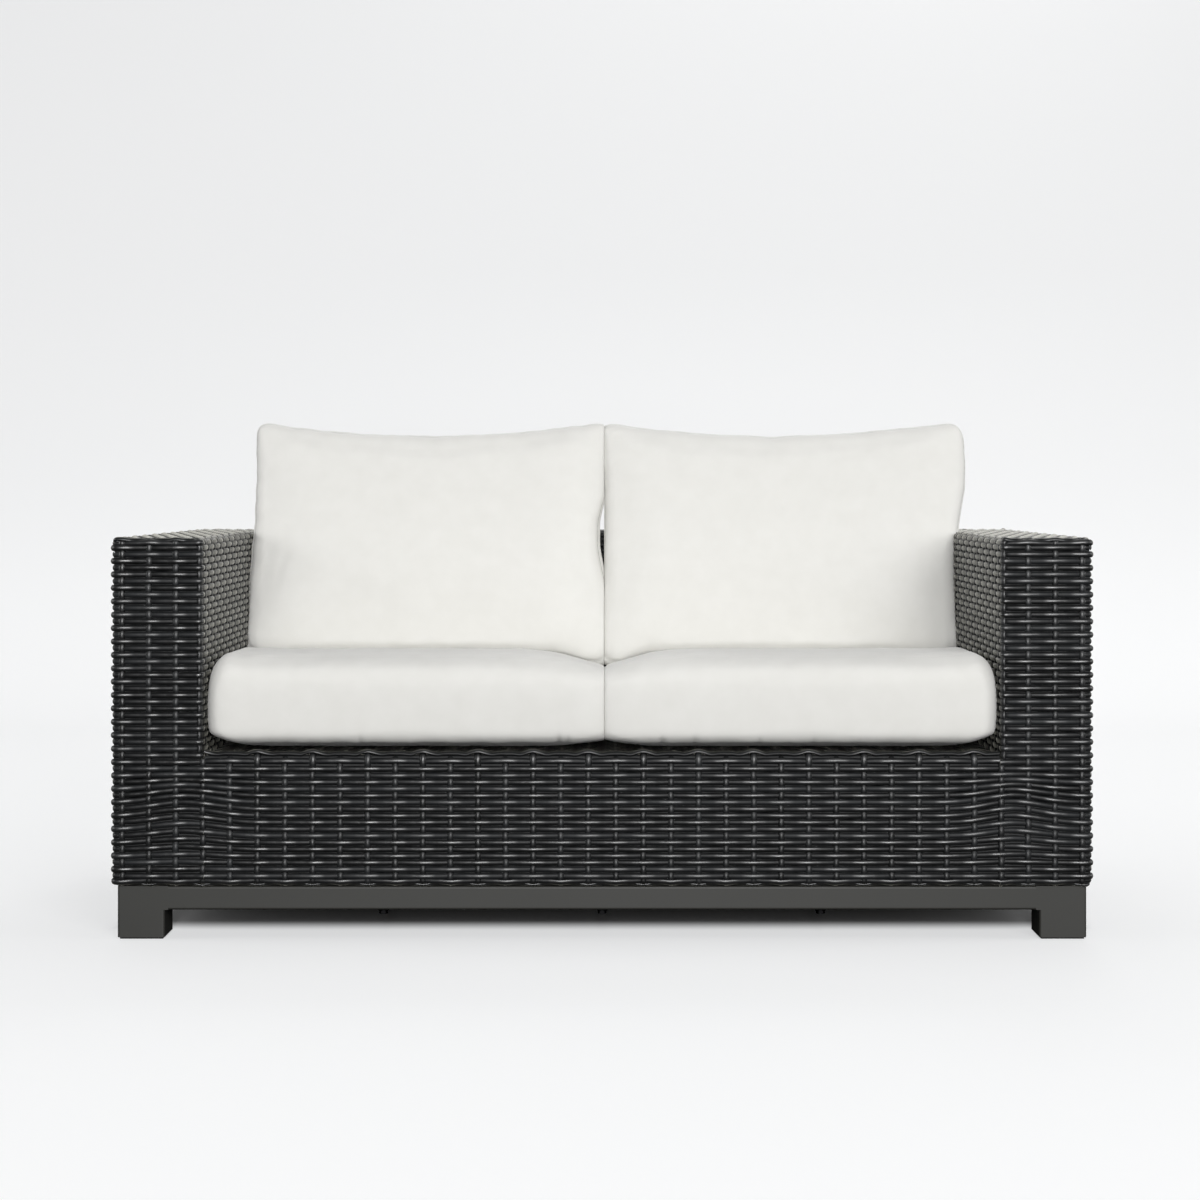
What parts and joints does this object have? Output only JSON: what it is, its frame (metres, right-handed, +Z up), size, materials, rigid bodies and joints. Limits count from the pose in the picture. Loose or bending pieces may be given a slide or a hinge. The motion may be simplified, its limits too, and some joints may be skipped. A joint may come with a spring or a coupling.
{
  "type": "patio loveseat",
  "caption": "Woven resin patio loveseat with square arms, low metal plinth, and loose pale seat and back cushions that lift out.",
  "frame": {"origin": "on the floor under the middle of the loveseat's footprint", "axes": "+X to the right as seen from the front, +Y from front to rear, +Z up"},
  "size_m": [1.65, 0.85, 0.8806],
  "materials": {
    "resin_weave": "satin",
    "frame_aluminium": "satin",
    "plinth_powder_coat": "satin",
    "nylon": "satin",
    "black_zinc_steel": "satin",
    "cushion_fabric": "matte",
    "seat_foam": "matte",
    "back_fibre": "matte"
  },
  "bodies": {
    "frame": {"left_arm_weave": "resin_weave", "right_arm_weave": "resin_weave", "back_weave": "resin_weave", "front_apron_weave": "resin_weave", "seat_deck_weave": "resin_weave", "left_arm_posts": "frame_aluminium", "left_arm_top_rails": "frame_aluminium", "left_arm_bottom_rails": "frame_aluminium", "left_arm_cross_tubes": "frame_aluminium", "right_arm_posts": "frame_aluminium", "right_arm_top_rails": "frame_aluminium", "right_arm_bottom_rails": "frame_aluminium", "right_arm_cross_tubes": "frame_aluminium", "back_top_rails": "frame_aluminium", "back_bottom_rail": "frame_aluminium", "back_uprights": "frame_aluminium", "back_spacers": "frame_aluminium", "seat_front_beam": "frame_aluminium", "seat_rear_beam": "frame_aluminium", "seat_slats": "frame_aluminium", "seat_posts": "frame_aluminium", "apron_bottom_rail": "frame_aluminium", "apron_uprights": "frame_aluminium", "plinth_front_rail": "plinth_powder_coat", "plinth_rear_rail": "plinth_powder_coat", "plinth_left_rail": "plinth_powder_coat", "plinth_right_rail": "plinth_powder_coat", "front_left_foot": "plinth_powder_coat", "front_right_foot": "plinth_powder_coat", "rear_left_foot": "plinth_powder_coat", "rear_right_foot": "plinth_powder_coat", "plinth_bearers": "plinth_powder_coat", "foot_glides": "nylon", "plinth_bolts": "black_zinc_steel", "plinth_washers": "black_zinc_steel", "plinth_weld_nuts": "black_zinc_steel"},
    "left_seat_cushion": {"left_seat_cushion_cover": "cushion_fabric", "left_seat_cushion_filling": "seat_foam"},
    "right_seat_cushion": {"right_seat_cushion_cover": "cushion_fabric", "right_seat_cushion_filling": "seat_foam"},
    "left_back_cushion": {"left_back_cushion_cover": "cushion_fabric", "left_back_cushion_filling": "back_fibre"},
    "right_back_cushion": {"right_back_cushion_cover": "cushion_fabric", "right_back_cushion_filling": "back_fibre"}
  },
  "joints": [
    {"name": "left_seat_cushion_slide", "type": "slide", "parent": "frame", "child": "left_seat_cushion", "axis": [0, -1, 0], "range_m": [0, 0.72]},
    {"name": "right_seat_cushion_slide", "type": "slide", "parent": "frame", "child": "right_seat_cushion", "axis": [0, -1, 0], "range_m": [0, 0.72]},
    {"name": "left_back_cushion_lift", "type": "slide", "parent": "frame", "child": "left_back_cushion", "axis": [0, 0, 1], "range_m": [0, 0.45]},
    {"name": "right_back_cushion_lift", "type": "slide", "parent": "frame", "child": "right_back_cushion", "axis": [0, 0, 1], "range_m": [0, 0.45]}
  ]
}
